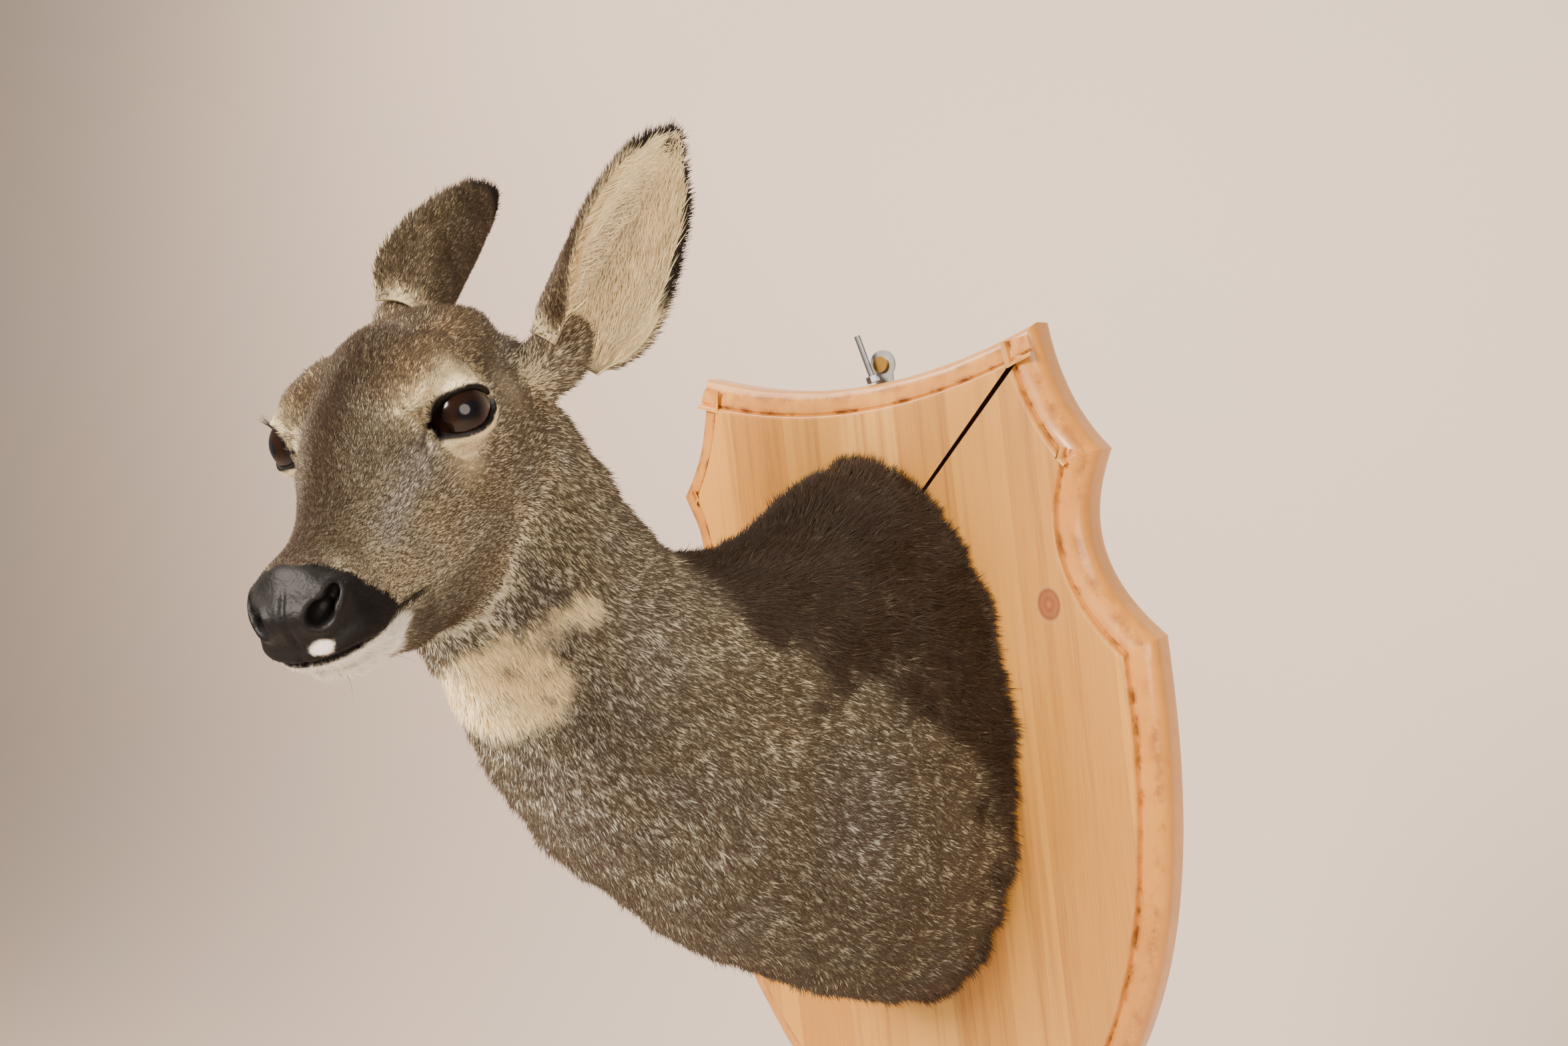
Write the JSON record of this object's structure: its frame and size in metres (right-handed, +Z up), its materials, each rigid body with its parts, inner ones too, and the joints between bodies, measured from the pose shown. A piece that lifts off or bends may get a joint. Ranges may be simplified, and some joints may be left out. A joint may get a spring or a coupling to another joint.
{
  "type": "roe deer shoulder mount",
  "caption": "Shoulder mount of a roe doe in winter coat, head turned to its left, on a varnished pine shield board with a wall hanger.",
  "frame": {"origin": "on the back face of the shield board, on its centre line, 300 mm above the board's lower point", "axes": "+Z up, -Y out of the wall towards the viewer, +X to the animal's left"},
  "size_m": [0.3494, 0.4717, 0.6414],
  "materials": {
    "shoulder_hair": "long winter hair, grey-brown, nearly black along the withers",
    "neck_hair": "dense winter hair, speckled grey and tan, with a cream throat patch",
    "head_hair": "short speckled hair, darker on the forehead and the bridge of the nose",
    "chin_hair": "short white hair",
    "ear_hair": "short hair outside with a black rim, long pale hair in the hollow",
    "nose_skin": "bare black skin with a fine pebbled grain, painted, satin",
    "eye_glass": "dark brown glass eye, polished",
    "pine": "honey-yellow pine strips, glued up, glossy varnish with a dark line in the moulding",
    "zinc": "zinc-plated sheet steel, dull",
    "brass": "aged brass",
    "steel": "bright turned steel, darker at the nut"
  },
  "bodies": {
    "root": {"chest": "shoulder_hair", "neck": "neck_hair", "head": "head_hair", "lower_jaw": "chin_hair", "nose": "nose_skin", "ear_left": "ear_hair", "ear_right": "ear_hair", "eye_left": "eye_glass", "eye_right": "eye_glass", "shield_board": "pine", "hanger_plate": "zinc", "hanger_hub": "brass", "hanger_pin": "steel"}
  },
  "joints": []
}
